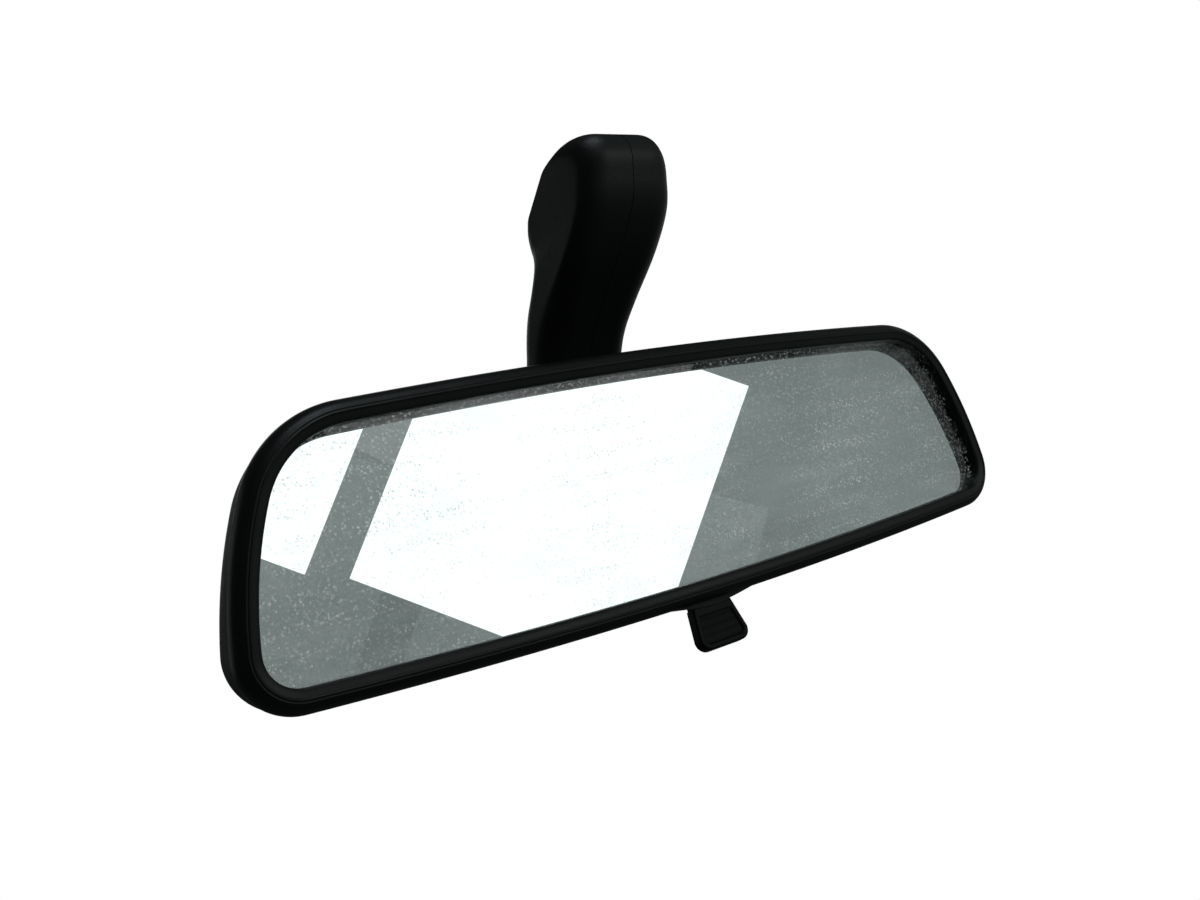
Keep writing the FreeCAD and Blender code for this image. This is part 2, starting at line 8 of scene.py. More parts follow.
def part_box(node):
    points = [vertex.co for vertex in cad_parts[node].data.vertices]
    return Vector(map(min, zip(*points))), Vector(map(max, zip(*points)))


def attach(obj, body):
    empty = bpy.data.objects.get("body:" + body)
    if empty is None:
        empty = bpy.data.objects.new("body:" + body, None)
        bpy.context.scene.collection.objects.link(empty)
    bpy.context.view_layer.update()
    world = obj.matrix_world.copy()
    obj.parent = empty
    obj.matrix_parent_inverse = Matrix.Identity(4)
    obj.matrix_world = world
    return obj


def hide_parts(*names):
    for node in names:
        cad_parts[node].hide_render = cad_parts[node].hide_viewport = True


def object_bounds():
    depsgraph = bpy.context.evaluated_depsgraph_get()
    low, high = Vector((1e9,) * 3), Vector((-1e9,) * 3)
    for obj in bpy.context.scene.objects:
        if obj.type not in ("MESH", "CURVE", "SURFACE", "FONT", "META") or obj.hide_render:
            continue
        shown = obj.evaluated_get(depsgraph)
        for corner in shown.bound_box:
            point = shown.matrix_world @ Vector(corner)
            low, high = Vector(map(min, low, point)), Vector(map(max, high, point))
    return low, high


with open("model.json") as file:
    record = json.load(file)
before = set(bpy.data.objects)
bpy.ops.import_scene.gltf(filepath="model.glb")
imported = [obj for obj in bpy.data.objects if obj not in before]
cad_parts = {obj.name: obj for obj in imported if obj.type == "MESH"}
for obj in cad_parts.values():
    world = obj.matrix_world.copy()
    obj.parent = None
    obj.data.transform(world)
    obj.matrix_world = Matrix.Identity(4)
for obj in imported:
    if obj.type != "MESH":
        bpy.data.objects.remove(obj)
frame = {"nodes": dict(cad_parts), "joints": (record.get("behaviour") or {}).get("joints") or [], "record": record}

cad_low, cad_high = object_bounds()
MM = 0.001

# ---------------------------------------------------------------- places read from the frame
glass_low, glass_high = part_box("mirror_glass")
bezel_low, bezel_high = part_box("bezel")
joint_at = {joint["name"]: Vector(joint["pos_m"]) for joint in frame["joints"]}
BALL = joint_at["head_swivel"]
LEVER_PIN = joint_at["lever_flip"]
GLASS_Y = glass_low.y                                  # front face of the glass

# ---------------------------------------------------------------- driving sizes, metres
BEZEL_WIDTH = 5.6 * MM
BEZEL_BACK = 2.0 * MM
SKIRT_INNER = 2.3 * MM                                 # the skirt plugs into the rear housing
SKIRT_OUTER = 2.85 * MM
SKIRT_BACK = 5.0 * MM
HALF_BOTTOM = bezel_high.x - 5.05 * MM                 # half width of the outline's lower corners
HALF_TOP = HALF_BOTTOM - 15.3 * MM
BOW_TOP = 2.7 * MM
BOW_BOTTOM = 3.4 * MM
BOW_SIDE = 3.7 * MM
HEIGHT = (bezel_high.z - bezel_low.z) - BOW_TOP - BOW_BOTTOM - 2 * BEZEL_WIDTH
MID_Z = bezel_low.z + BEZEL_WIDTH + BOW_BOTTOM + HEIGHT / 2
GLASS_THICK = 5.6 * MM                                 # at the top edge; the back is silvered
GLASS_THIN = 2.4 * MM
COAT_GAP = 0.01 * MM
COAT_THICK = 0.25 * MM
GLASS_CHAMFER = 0.35 * MM
ROUND_TOP = 22.5 * MM
ROUND_BOTTOM = 7.4 * MM
SHELL_FRONT = 2.3 * MM                                 # front rim of the housing, behind the glass
SHELL_DEPTH = 26.0 * MM
SHELL_GROW = 4.6 * MM                                  # rim of the housing, outward from the glass
SHELL_SHRINK = 18.2 * MM                               # how far the outline draws in towards the back
NECK_OPENING = 14.2 * MM                               # radius of the round opening for the arm's neck
WALL = 1.8 * MM
SHROUD_HALF = 27.0 * MM
SHROUD_DROP = 2.6 * MM
SHROUD_FADE = 9.0 * MM                                 # depth at which the swelling starts to fade
SLOT_HALF = 8.3 * MM                                   # opening in the lower wall for the lever
SLOT_BACK = 13.5 * MM
SLOT_TOP = 26.0 * MM                                   # below the middle of the glass
SLOT_BOTTOM = 42.0 * MM
SEAM = 0.1 * MM                                        # half the gap between the arm's two covers
ARM_HALF = 14.7 * MM
ARM_ROUND = 8.0 * MM
COVER_WALL = 2.0 * MM
NECK_HOLE = 5.4 * MM
TAB_HALF = 8.4 * MM
TAB_TAPER = 1.6 * MM
TAB_LENGTH = 11.1 * MM
TAB_THICK = 3.3 * MM
TAB_LEAN = 15.0                                        # degrees towards the driver
TAB_EDGE = 0.7 * MM                                    # radius of its rounded edges
TAB_RIM = 1.5 * MM                                     # rim round the finger panel
TAB_CORNER = 3.0 * MM
TAB_FRONT = 7.0 * MM                                   # in front of the lever's pin
TAB_BELOW = 7.9 * MM                                   # below the lever's pin
HUB_RADIUS = 3.2 * MM
HUB_LENGTH = 15.8 * MM
FINGER_RADIUS = 1.15 * MM
FINGER_LENGTH = 8.0 * MM
FINGER_HEIGHT = 5.1 * MM                               # cam finger above the lever's pin
WINDOW_TURN = -38.0                                    # degrees the reflected panes lean
PRISM_LIFT = 0.150                                     # the wedge of glass throws its view this much up
FLOOR_DROP = 0.40
FLOOR_RADIUS = 0.45


# ---------------------------------------------------------------- mesh helpers
def new_object(name, bm, material, body, stands_for=()):
    mesh = bpy.data.meshes.new(name)
    bmesh.ops.recalc_face_normals(bm, faces=bm.faces)
    bm.to_mesh(mesh)
    bm.free()
    for polygon in mesh.polygons:
        polygon.use_smooth = True
    piece = bpy.data.objects.new(name, mesh)
    bpy.context.scene.collection.objects.link(piece)
    mesh.materials.append(material)
    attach(piece, body)
    if stands_for:
        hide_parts(*stands_for)
    return piece


def grid(bm, rows, closed=True):
    """Quads between rows of points. Each row is a closed or an open line of equal length."""
    made = [[bm.verts.new(p) for p in row] for row in rows]
    count = len(rows[0])
    last = count if closed else count - 1
    for a, b in zip(made, made[1:]):
        for k in range(last):
            j = (k + 1) % count
            bm.faces.new((a[k], a[j], b[j], b[k]))
    return made


def cap(bm, ring):
    """Close a ring of vertices with a fan round its middle."""
    hub = bm.verts.new(sum((v.co for v in ring), Vector()) / len(ring))
    for k in range(len(ring)):
        bm.faces.new((ring[k], ring[(k + 1) % len(ring)], hub))


def bridge(bm, a, b):
    """A closed strip of quads between two rings of vertices."""
    for k in range(len(a)):
        j = (k + 1) % len(a)
        bm.faces.new((a[k], a[j], b[j], b[k]))


def apply_modifiers(piece):
    graph = bpy.context.evaluated_depsgraph_get()
    baked = bpy.data.meshes.new_from_object(piece.evaluated_get(graph))
    piece.modifiers.clear()
    piece.data = baked


def sharpen(piece, degrees):
    """Smooth shading that keeps the edges sharper than an angle."""
    limit = math.radians(degrees)
    bm = bmesh.new()
    bm.from_mesh(piece.data)
    for edge in bm.edges:
        edge.smooth = len(edge.link_faces) != 2 or edge.calc_face_angle(0.0) < limit
    bm.to_mesh(piece.data)
    bm.free()


def carve(piece, cutter_bm):
    """Cut a closed shape out of a piece."""
    mesh = bpy.data.meshes.new("cutter")
    bmesh.ops.recalc_face_normals(cutter_bm, faces=cutter_bm.faces)
    cutter_bm.to_mesh(mesh)
    cutter_bm.free()
    cutter = bpy.data.objects.new("cutter", mesh)
    bpy.context.scene.collection.objects.link(cutter)
    cut = piece.modifiers.new("cut", "BOOLEAN")
    cut.operation = "DIFFERENCE"
    cut.solver = "MANIFOLD"
    cut.object = cutter
    bpy.context.view_layer.update()
    apply_modifiers(piece)
    bpy.data.objects.remove(cutter)
    bpy.data.meshes.remove(mesh)


def add_block(bm, low, high):
    place = Matrix.Translation((low + high) / 2) @ Matrix.Diagonal((*(high - low), 1.0))
    bmesh.ops.create_cube(bm, size=1.0, matrix=place)


def add_rod(bm, middle, axis_turn, radius, length, segments):
    bmesh.ops.create_cone(bm, cap_ends=True, segments=segments, radius1=radius, radius2=radius,
                          depth=length, matrix=Matrix.Translation(middle) @ axis_turn)


def round_hole(middle, radius, length, segments):
    """A cutter for a round hole that runs from front to back."""
    bm = bmesh.new()
    add_rod(bm, middle, Matrix.Rotation(math.pi / 2, 4, "X"), radius, length, segments)
    return bm


def lever_slot(front):
    """A cutter for the opening in the lower wall through which the lever swings."""
    bm = bmesh.new()
    low = Vector((-SLOT_HALF, GLASS_Y + front, MID_Z - SLOT_BOTTOM))
    high = Vector((SLOT_HALF, GLASS_Y + SLOT_BACK, MID_Z - SLOT_TOP))
    add_block(bm, low, high)
    return bm


# ---------------------------------------------------------------- the head's outline
def circle_through(a, b, c):
    area = 2 * (a[0] * (b[1] - c[1]) + b[0] * (c[1] - a[1]) + c[0] * (a[1] - b[1]))
    aa, bb, cc = (p[0] ** 2 + p[1] ** 2 for p in (a, b, c))
    x = (aa * (b[1] - c[1]) + bb * (c[1] - a[1]) + cc * (a[1] - b[1])) / area
    z = (aa * (c[0] - b[0]) + bb * (a[0] - c[0]) + cc * (b[0] - a[0])) / area
    return (x, z), math.hypot(a[0] - x, a[1] - z)


def corner_centre(first, second, radius, near):
    """Centre of the arc of a radius that touches two circles from inside, near a corner."""
    (c1, r1), (c2, r2) = first, second
    d1, d2 = r1 - radius, r2 - radius
    dx, dz = c2[0] - c1[0], c2[1] - c1[1]
    span = math.hypot(dx, dz)
    along = (d1 * d1 - d2 * d2 + span * span) / (2 * span)
    across = math.sqrt(d1 * d1 - along * along)
    foot = (c1[0] + along * dx / span, c1[1] + along * dz / span)
    options = [(foot[0] - s * across * dz / span, foot[1] + s * across * dx / span) for s in (-1, 1)]
    return min(options, key=lambda p: math.hypot(p[0] - near[0], p[1] - near[1]))


def direction(centre, through):
    return math.atan2(through[1] - centre[1], through[0] - centre[0])


def outline(grow, round_top, round_bottom):
    """Points of the head's outline with their outward normals, as (x, z, nx, nz)."""
    half = HEIGHT / 2
    lean = (HALF_BOTTOM - HALF_TOP) / HEIGHT
    slant = math.sqrt(1 + lean * lean)
    top = half + grow
    x_top = HALF_TOP + grow * (slant - lean)
    x_low = HALF_BOTTOM + grow * (slant + lean)
    x_mid = (x_top + x_low) / 2 + BOW_SIDE
    upper = circle_through((-x_top, top), (0, top + BOW_TOP), (x_top, top))
    lower = circle_through((-x_low, -top), (0, -top - BOW_BOTTOM), (x_low, -top))
    side = circle_through((x_top, top), (x_mid, 0), (x_low, -top))
    c_top = corner_centre(upper, side, round_top, (x_top, top))
    c_low = corner_centre(lower, side, round_bottom, (x_low, -top))
    under = direction(lower[0], c_low)
    joins = [(lower, -math.pi / 2, under, 60),
             ((c_low, round_bottom), under, direction(side[0], c_low), 26),
             (side, direction(side[0], c_low), direction(side[0], c_top), 22),
             ((c_top, round_top), direction(side[0], c_top), direction(upper[0], c_top), 30),
             (upper, direction(upper[0], c_top), math.pi / 2, 52)]
    right = []
    for (centre, radius), start, stop, count in joins:
        for k in range(count):
            angle = start + (stop - start) * k / count
            nx, nz = math.cos(angle), math.sin(angle)
            right.append((centre[0] + radius * nx, centre[1] + radius * nz, nx, nz))
    right.append((0.0, top + BOW_TOP, 0.0, 1.0))
    left = [(-x, z, -nx, nz) for x, z, nx, nz in reversed(right[1:-1])]
    return right + left


def ring_rows(profile):
    """Rows of a ring round the glass, one row for each (outward, depth) point of a profile."""
    line = outline(0, ROUND_TOP, ROUND_BOTTOM)
    rows = []
    for out, depth in profile:
        rows.append([Vector((x + nx * out, GLASS_Y + depth, MID_Z + z + nz * out))
                     for x, z, nx, nz in line])
    return rows


def smooth_line(points, steps):
    """A Catmull-Rom line through points of any dimension."""
    made = []
    for k in range(len(points) - 1):
        p0 = points[max(k - 1, 0)]
        p1, p2 = points[k], points[k + 1]
        p3 = points[min(k + 2, len(points) - 1)]
        for s in range(steps):
            t = s / steps
            made.append(tuple(0.5 * (2 * b + (c - a) * t + (2 * a - 5 * b + 4 * c - d) * t * t
                                     + (3 * b - a - 3 * c + d) * t ** 3)
                              for a, b, c, d in zip(p0, p1, p2, p3)))
    made.append(tuple(points[-1]))
    return made


# ---------------------------------------------------------------- node materials
class Nodes:
    """A short way to build a node material."""

    def __init__(self, name):
        self.material = bpy.data.materials.new(name)
        self.material.use_nodes = True
        self.tree = self.material.node_tree
        self.tree.nodes.clear()
        self.out = self.tree.nodes.new("ShaderNodeOutputMaterial")

    def add(self, kind, **values):
        node = self.tree.nodes.new(kind)
        for key, value in values.items():
            if key in node.inputs:
                node.inputs[key].default_value = value
            else:
                setattr(node, key, value)
        return node

    def link(self, source, target):
        self.tree.links.new(source, target)

    def place(self, scale=(1.0, 1.0, 1.0)):
        where = self.add("ShaderNodeTexCoord")
        mapping = self.add("ShaderNodeMapping", Scale=scale)
        self.link(where.outputs["Object"], mapping.inputs["Vector"])
        return mapping.outputs["Vector"]

    def noise(self, vector, scale, detail=4.0, roughness=0.55):
        node = self.add("ShaderNodeTexNoise", Scale=scale, Detail=detail, Roughness=roughness)
        self.link(vector, node.inputs["Vector"])
        return node.outputs["Fac"]

    def cells(self, vector, scale):
        node = self.add("ShaderNodeTexVoronoi", Scale=scale)
        self.link(vector, node.inputs["Vector"])
        return node.outputs["Distance"]

    def remap(self, value, low, high, to_low, to_high):
        node = self.add("ShaderNodeMapRange")
        self.link(value, node.inputs["Value"])
        sockets = ("From Min", "From Max", "To Min", "To Max")
        for socket, number in zip(sockets, (low, high, to_low, to_high)):
            node.inputs[socket].default_value = number
        return node.outputs["Result"]

    def math(self, operation, a, b):
        node = self.add("ShaderNodeMath", operation=operation)
        for k, value in enumerate((a, b)):
            if isinstance(value, (int, float)):
                node.inputs[k].default_value = value
            else:
                self.link(value, node.inputs[k])
        return node.outputs[0]

    def ramp(self, value, stops):
        node = self.add("ShaderNodeValToRGB")
        elements = node.color_ramp.elements
        while len(elements) < len(stops):
            elements.new(0.5)
        for element, (at, colour) in zip(elements, stops):
            element.position = at
            element.color = (*colour, 1.0)
        self.link(value, node.inputs["Fac"])
        return node.outputs["Color"]

    def bump(self, height, strength, distance, under=None):
        node = self.add("ShaderNodeBump", Strength=strength, Distance=distance)
        self.link(height, node.inputs["Height"])
        if under is not None:
            self.link(under, node.inputs["Normal"])
        return node.outputs["Normal"]

    def shader(self, **values):
        node = self.add("ShaderNodeBsdfPrincipled", **values)
        self.link(node.outputs[0], self.out.inputs["Surface"])
        return node


def plastic(name, dark, light, rough_low, rough_high, grain=2600.0, grain_depth=0.6, dust=0.5, gloss=0.36):
    """Moulded black plastic: spark-eroded grain, rubbed patches, fine dust and a few scuffs."""
    n = Nodes(name)
    where = n.place()
    patches = n.noise(where, 45.0, 5.0, 0.6)
    fine = n.noise(where, grain, 3.0, 0.7)
    pits = n.cells(where, grain * 0.8)
    shader = n.shader(**{"Specular IOR Level": gloss})
    specks = n.remap(n.cells(where, 620.0), 0.05, 0.10, 1.0, 0.0)
    drift = n.remap(n.noise(where, 24.0, 4.0, 0.65), 0.50, 0.72, 0.0, 1.0)
    dusty = n.math("MULTIPLY", n.math("MULTIPLY", specks, drift), dust)
    film = n.math("MULTIPLY", n.remap(n.noise(where, 9.0, 6.0, 0.7), 0.42, 0.75, 0.0, 1.0), 0.02 * dust)
    cover = n.math("ADD", dusty, film)
    base = n.ramp(patches, [(0.25, dark), (0.75, light)])
    blend = n.add("ShaderNodeMix", data_type="RGBA")
    n.link(cover, blend.inputs["Factor"])
    n.link(base, blend.inputs["A"])
    blend.inputs["B"].default_value = (0.30, 0.29, 0.27, 1.0)
    n.link(blend.outputs["Result"], shader.inputs["Base Color"])
    rough = n.math("ADD", n.remap(patches, 0.3, 0.7, rough_low, rough_high), n.math("MULTIPLY", cover, 0.4))
    n.link(rough, shader.inputs["Roughness"])
    scratches = n.remap(n.noise(n.place((1.0, 1.0, 14.0)), 320.0, 2.0, 0.4), 0.66, 0.72, 0.0, 1.0)
    height = n.math("ADD", n.math("MULTIPLY", fine, 0.7), n.math("MULTIPLY", pits, 0.5))
    normal = n.bump(height, grain_depth, 0.00006)
    normal = n.bump(scratches, 0.08, 0.00003, normal)
    n.link(normal, shader.inputs["Normal"])
    return n.material


def dotted_panel():
    """The finger panel: the same black, with a fine field of raised dots."""
    n = Nodes("lever_panel")
    where = n.place()
    shader = n.shader(Roughness=0.5, **{"Specular IOR Level": 0.13})
    n.link(n.ramp(n.noise(where, 300.0), [(0.3, (0.006, 0.007, 0.0065)), (0.7, (0.012, 0.0135, 0.0125))]),
           shader.inputs["Base Color"])
    cells = n.add("ShaderNodeTexVoronoi", Scale=1900.0, Randomness=0.15)
    n.link(where, cells.inputs["Vector"])
    dots = n.remap(cells.outputs["Distance"], 0.15, 0.45, 1.0, 0.0)
    n.link(n.bump(dots, 0.5, 0.00015), shader.inputs["Normal"])
    return n.material


def metal(name, colour, rough, streak=(1.0, 1.0, 1.0), cast=False, metallic=1.0):
    """Bare metal with turned or drawn streaks, or the pebbled skin of a casting."""
    n = Nodes(name)
    where = n.place(streak)
    flow = n.noise(where, 900.0, 3.0, 0.6)
    stain = n.noise(n.place(), 60.0, 5.0, 0.6)
    shader = n.shader(Metallic=metallic)
    darker = tuple(c * 0.72 for c in colour)
    n.link(n.ramp(stain, [(0.3, darker), (0.7, colour)]), shader.inputs["Base Color"])
    n.link(n.remap(flow, 0.3, 0.7, rough - 0.08, rough + 0.12), shader.inputs["Roughness"])
    height = n.noise(n.place(), 1500.0, 4.0, 0.6) if cast else flow
    n.link(n.bump(height, 0.35 if cast else 0.15, 0.00005), shader.inputs["Normal"])
    return n.material


def nylon():
    n = Nodes("nylon_natural")
    where = n.place()
    shader = n.shader(**{"Subsurface Weight": 0.1, "Subsurface Scale": 0.002})
    n.link(n.ramp(n.noise(where, 80.0), [(0.3, (0.62, 0.60, 0.54)), (0.7, (0.74, 0.72, 0.66))]),
           shader.inputs["Base Color"])
    n.link(n.remap(n.noise(where, 400.0), 0.3, 0.7, 0.35, 0.5), shader.inputs["Roughness"])
    n.link(n.bump(n.noise(where, 1400.0), 0.2, 0.00004), shader.inputs["Normal"])
    return n.material


def rubber(name, dark, light, cell):
    n = Nodes(name)
    where = n.place()
    shader = n.shader(**{"Specular IOR Level": 0.3})
    n.link(n.ramp(n.noise(where, 150.0), [(0.3, dark), (0.7, light)]), shader.inputs["Base Color"])
    n.link(n.remap(n.noise(where, 500.0), 0.3, 0.7, 0.75, 0.92), shader.inputs["Roughness"])
    n.link(n.bump(n.cells(where, cell), 0.5, 0.0001), shader.inputs["Normal"])
    return n.material


def silvering():
    """The mirror coat behind the glass, with a few old spots."""
    n = Nodes("silvering")
    where = n.place()
    shader = n.shader(Metallic=1.0, Roughness=0.0)
    spots = n.remap(n.cells(where, 190.0), 0.03, 0.05, 1.0, 0.0)
    rare = n.remap(n.noise(where, 30.0, 3.0, 0.6), 0.66, 0.70, 0.0, 1.0)
    n.link(n.ramp(n.math("MULTIPLY", spots, rare), [(0.0, (0.90, 0.91, 0.92)), (1.0, (0.35, 0.36, 0.36))]),
           shader.inputs["Base Color"])
    return n.material


def mirror_glass():
    """Clear, faintly green glass, with dust, dried drops and wiped smears on its face; these marks glow faintly
    with painted light of their own.
    """
    n = Nodes("mirror_glass")
    where = n.place()
    clear = n.add("ShaderNodeBsdfPrincipled", IOR=1.52, Roughness=0.0, **{"Transmission Weight": 1.0})
    clear.inputs["Base Color"].default_value = (0.955, 0.985, 0.972, 1.0)
    # painted light: the dust shader emits a faint glow, so dust, drops and smears look brighter than the lamps
    # light them
    dusty = n.add("ShaderNodeBsdfPrincipled", Roughness=0.9, **{"Emission Strength": 0.42})
    dusty.inputs["Base Color"].default_value = (0.85, 0.87, 0.86, 1.0)
    dusty.inputs["Emission Color"].default_value = (0.88, 0.96, 0.94, 1.0)
    fine = n.remap(n.cells(where, 950.0), 0.16, 0.34, 1.0, 0.0)
    patches = n.remap(n.noise(where, 22.0, 7.0, 0.72), 0.38, 0.62, 0.10, 0.90)
    dots = n.remap(n.cells(where, 330.0), 0.05, 0.09, 1.0, 0.0)
    spots = n.math("MULTIPLY", dots, n.remap(n.noise(where, 14.0, 4.0, 0.6), 0.54, 0.62, 0.0, 0.9))
    wiped = n.add("ShaderNodeTexWave", wave_type="RINGS", Scale=34.0, Distortion=2.4, Detail=3.0)
    n.link(n.place((1.0, 1.0, 1.6)), wiped.inputs["Vector"])
    wiping = n.remap(wiped.outputs["Fac"], 0.35, 0.85, 0.55, 1.0)
    smear = n.remap(n.noise(n.place((1.0, 1.0, 2.6)), 26.0, 8.0, 0.72), 0.45, 0.80, 0.0, 0.07)
    cover = n.math("MULTIPLY", n.math("MULTIPLY", fine, patches), wiping)
    cover = n.math("ADD", n.math("MULTIPLY", cover, 0.45), n.math("MULTIPLY", spots, 0.6))
    cover = n.math("MINIMUM", n.math("ADD", cover, smear), 0.6)
    mix = n.add("ShaderNodeMixShader")
    n.link(cover, mix.inputs["Fac"])
    n.link(clear.outputs[0], mix.inputs[1])
    n.link(dusty.outputs[0], mix.inputs[2])
    n.link(mix.outputs[0], n.out.inputs["Surface"])
    return n.material


BEZEL_BLACK = plastic("bezel_plastic", (0.0050, 0.0058, 0.0056), (0.0105, 0.0118, 0.0114), 0.30, 0.42,
                      dust=0.3, gloss=0.28)
ARM_BLACK = plastic("arm_plastic", (0.0032, 0.0037, 0.0036), (0.0062, 0.0070, 0.0068), 0.40, 0.50,
                    grain=2200.0, dust=0.12)
SHELL_BLACK = plastic("housing_plastic", (0.009, 0.0095, 0.010), (0.017, 0.018, 0.019), 0.50, 0.62,
                      grain=1500.0, grain_depth=0.9, dust=0.35)
LEVER_BLACK = plastic("lever_plastic", (0.0036, 0.0042, 0.0038), (0.0075, 0.0086, 0.0078), 0.42, 0.54,
                      dust=0.2, gloss=0.17)
PANEL_BLACK = dotted_panel()
GROUND_EDGE = rubber("ground_edge", (0.006, 0.009, 0.007), (0.012, 0.018, 0.014), 1500.0)
BRACKET_BLACK = plastic("bracket_plastic", (0.014, 0.014, 0.014), (0.030, 0.030, 0.030), 0.42, 0.6,
                        dust=0.2)
ZINC = metal("zinc_cast", (0.52, 0.52, 0.53), 0.45, cast=True)
STEEL = metal("spring_steel", (0.56, 0.56, 0.57), 0.28, streak=(1.0, 6.0, 1.0))
SCREW = metal("screw_steel", (0.30, 0.30, 0.32), 0.34, streak=(1.0, 4.0, 1.0))
NYLON = nylon()
GASKET = rubber("gasket_rubber", (0.015, 0.015, 0.015), (0.032, 0.031, 0.030), 1800.0)
FOAM = rubber("pad_foam", (0.03, 0.03, 0.03), (0.07, 0.07, 0.068), 900.0)
SILVER = silvering()
GLASS = mirror_glass()

FINISH = {"foot_gasket": GASKET, "foot_plate": ZINC, "foot_spring": STEEL, "foot_screws": SCREW,
          "arm_core": ZINC, "ball_stud": STEEL, "stud_nut": SCREW, "ball_liner": NYLON,
          "clamp_cup": STEEL, "toggle_bracket": BRACKET_BLACK, "pressure_ring": NYLON,
          "wave_spring": STEEL, "retainer_plate": STEEL, "retainer_screws": SCREW,
          "glass_pads": FOAM, "pivot_pin": SCREW, "lever_pin": SCREW, "toggle_spring": STEEL}


def dress_cad_nodes():
    for node, material in FINISH.items():
        mesh = frame["nodes"][node].data
        mesh.materials.clear()
        mesh.materials.append(material)


# ---------------------------------------------------------------- bezel
def bezel_profile():
    """The frame's section, from the glass over the crest and the shoulder to its back edge."""
    front = [(0.02, -0.04), (0.05, -0.60), (0.10, -1.40), (0.22, -1.95), (0.45, -2.28), (0.80, -2.46),
             (1.30, -2.62), (1.80, -2.76), (2.15, -2.88), (2.32, -3.02), (2.45, -3.07), (2.58, -3.00),
             (2.74, -2.89), (2.92, -2.90), (3.05, -2.97), (3.18, -2.92), (3.36, -2.76), (3.80, -2.48),
             (4.30, -2.04), (4.82, -1.36), (5.25, -0.56), (5.52, 0.35), (5.60, 1.20)]
    return smooth_line(front, 3) + [(5.58, 1.75), (5.40, 1.98), (5.10, 2.02)]


def make_bezel():
    profile = [(out * MM, depth * MM) for out, depth in bezel_profile()]
    profile += [(SKIRT_OUTER, BEZEL_BACK), (SKIRT_OUTER, SKIRT_BACK), (SKIRT_INNER, SKIRT_BACK),
                (SKIRT_INNER, -0.04 * MM)]
    bm = bmesh.new()
    made = grid(bm, ring_rows(profile))
    first, last = made[0], made[-1]
    bridge(bm, last, first)
    piece = new_object("bezel_frame", bm, BEZEL_BLACK, "head", ["bezel"])
    carve(piece, lever_slot(BEZEL_BACK + 0.1 * MM))
    sharpen(piece, 40)


# ---------------------------------------------------------------- glass and its mirror coat
def wedge(z):
    """Depth of the glass's back face at a height."""
    share = (z - glass_low.z) / (glass_high.z - glass_low.z)
    return GLASS_THIN + (GLASS_THICK - GLASS_THIN) * share


def plate_row(grow, depth_of):
    return [Vector((x, GLASS_Y + depth_of(MID_Z + z), MID_Z + z))
            for x, z, nx, nz in outline(grow, ROUND_TOP + grow, ROUND_BOTTOM + grow)]


def flat_plate(name, rows, material, node):
    """A plate with true flat front and back faces and the given rows of edge points."""
    bm = bmesh.new()
    made = grid(bm, rows)
    bm.faces.new(made[0])
    bm.faces.new(made[-1])
    piece = new_object(name, bm, material, "head", [node])
    piece.data.materials.append(GROUND_EDGE)
    for polygon in piece.data.polygons:
        polygon.use_smooth = False
        polygon.material_index = 0 if len(polygon.vertices) > 4 else 1


def make_glass():
    """The wedge plate of glass with ground edges, and the thin coat behind it."""
    edge = glass_high.x - HALF_BOTTOM
    face = edge - GLASS_CHAMFER
    coat = edge - 2 * GLASS_CHAMFER
    rows = [plate_row(face, lambda z: 0.0), plate_row(edge, lambda z: GLASS_CHAMFER),
            plate_row(edge, lambda z: wedge(z) - GLASS_CHAMFER), plate_row(face, wedge)]
    flat_plate("glass_plate", rows, GLASS, "mirror_glass")
    rows = [plate_row(coat, lambda z: wedge(z) + COAT_GAP),
            plate_row(coat, lambda z: wedge(z) + COAT_THICK)]
    flat_plate("silver_coat", rows, SILVER, "mirror_coating")


# ---------------------------------------------------------------- rear housing
def shroud(x, z_out, depth):
    """How far the lower wall is pushed down around the tab."""
    across = max(0.0, 1.0 - abs(x) / SHROUD_HALF)
    across = across * across * (3 - 2 * across)
    back = max(0.0, 1.0 - max(0.0, depth - SHROUD_FADE) / SHROUD_FADE)
    return SHROUD_DROP * across * back * back * (3 - 2 * back)


def shell_rows(inset):
    """Rows of the domed back, from the front rim to the flat of the back."""
    rows = []
    steps = 30
    for k in range(steps + 1):
        t = k / steps
        angle = t * math.pi / 2
        depth = SHELL_FRONT + (SHELL_DEPTH - inset - SHELL_FRONT) * math.sin(angle) ** 0.96
        sink = 1 - math.cos(angle) ** 0.72
        grow = SHELL_GROW - inset - SHELL_SHRINK * sink
        top = ROUND_TOP + max(grow, 0.0) + 0.7 * min(grow, 0.0)
        low = ROUND_BOTTOM + max(grow, 0.0) + 0.25 * min(grow, 0.0) + 5.0 * MM * sink
        row = []
        for x, z, nx, nz in outline(grow, top, low):
            drop = shroud(x, z, depth) if nz < -0.5 and z < 0 else 0.0
            row.append(Vector((x, GLASS_Y + depth, MID_Z + z - drop)))
        rows.append(row)
    return rows


def make_housing():
    """The rear housing as a shell, open at the front, for the neck and for the lever."""
    bm = bmesh.new()
    outer = grid(bm, shell_rows(0))
    cap(bm, outer[-1])
    inner = grid(bm, shell_rows(WALL))
    cap(bm, inner[-1])
    bridge(bm, outer[0], inner[0])
    piece = new_object("housing_shell", bm, SHELL_BLACK, "head", ["rear_housing"])
    middle = (BALL.x, GLASS_Y + SHELL_DEPTH, BALL.z - 0.4 * MM)
    carve(piece, round_hole(middle, NECK_OPENING, 18 * MM, 96))
    carve(piece, lever_slot(SHELL_FRONT + 0.6 * MM))
    sharpen(piece, 35)


# ---------------------------------------------------------------- arm covers
foot_axis = frame["record"]["mounts"][0]["axis"]
FOOT_TILT = math.atan2(foot_axis[1], foot_axis[2])


def foot_point(along, out):
    """A point (y, z) of the foot, along its face from the middle and out from the windscreen."""
    return (along * math.cos(FOOT_TILT) + out * math.sin(FOOT_TILT),
            -along * math.sin(FOOT_TILT) + out * math.cos(FOOT_TILT))


